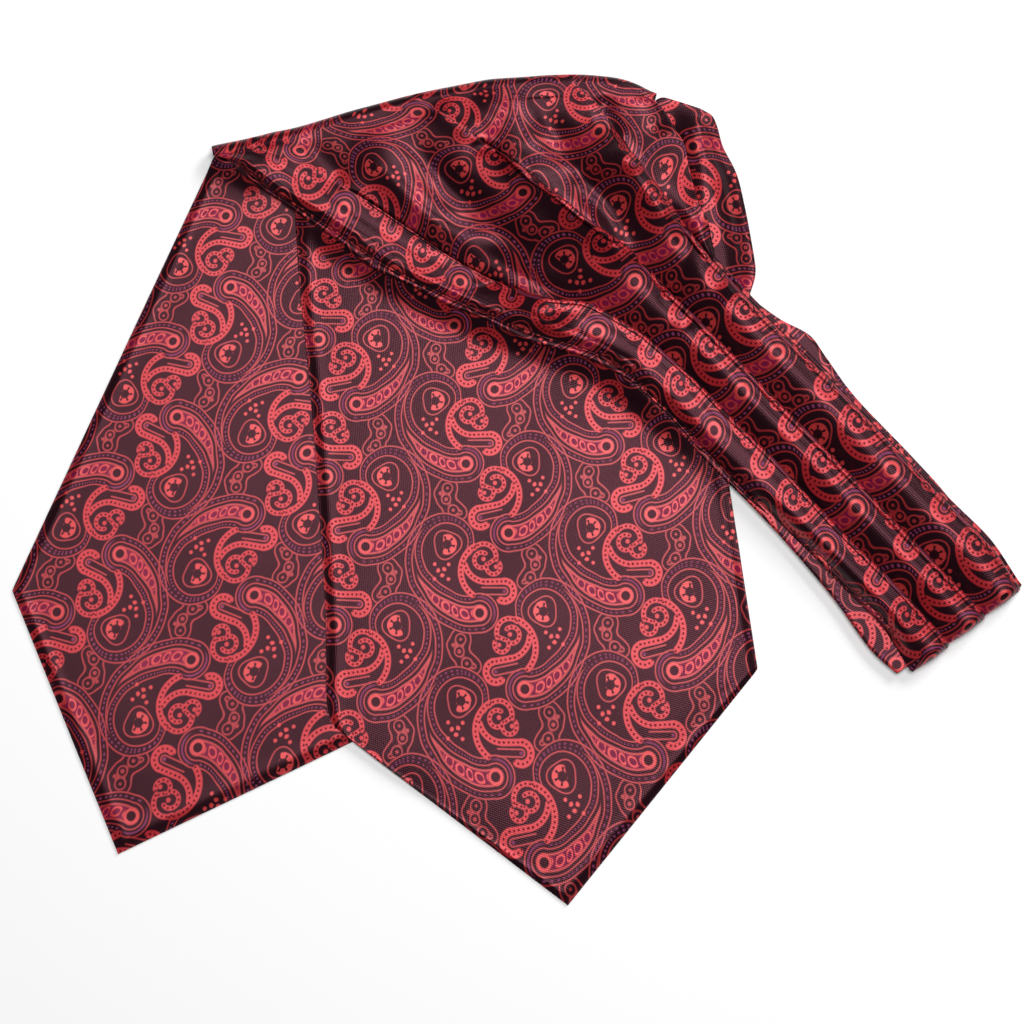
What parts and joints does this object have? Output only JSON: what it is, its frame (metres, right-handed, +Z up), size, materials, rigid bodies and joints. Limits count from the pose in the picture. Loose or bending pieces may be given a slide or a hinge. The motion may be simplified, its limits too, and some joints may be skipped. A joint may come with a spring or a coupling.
{
  "type": "ascot tie",
  "caption": "Wide necktie of satin jacquard with pointed blades, laid flat, its pleated neckband folded double and opening out into a soft fan over the blades.",
  "frame": {"origin": "centre of the whole piece's plan, on the surface it lies on", "axes": "+Z up off the surface, +Y from the blades' points towards the fan, +X towards the neckband's folded end"},
  "size_m": [0.3728, 0.307, 0.013],
  "materials": {
    "satin_jacquard": "satin jacquard, coral red paisley on near-black plum, soft sheen"
  },
  "bodies": {
    "root": {"back_blade": "satin_jacquard", "front_blade": "satin_jacquard", "under_fan": "satin_jacquard", "upper_fan": "satin_jacquard", "neckband_lower": "satin_jacquard", "neckband_upper": "satin_jacquard"}
  },
  "joints": []
}
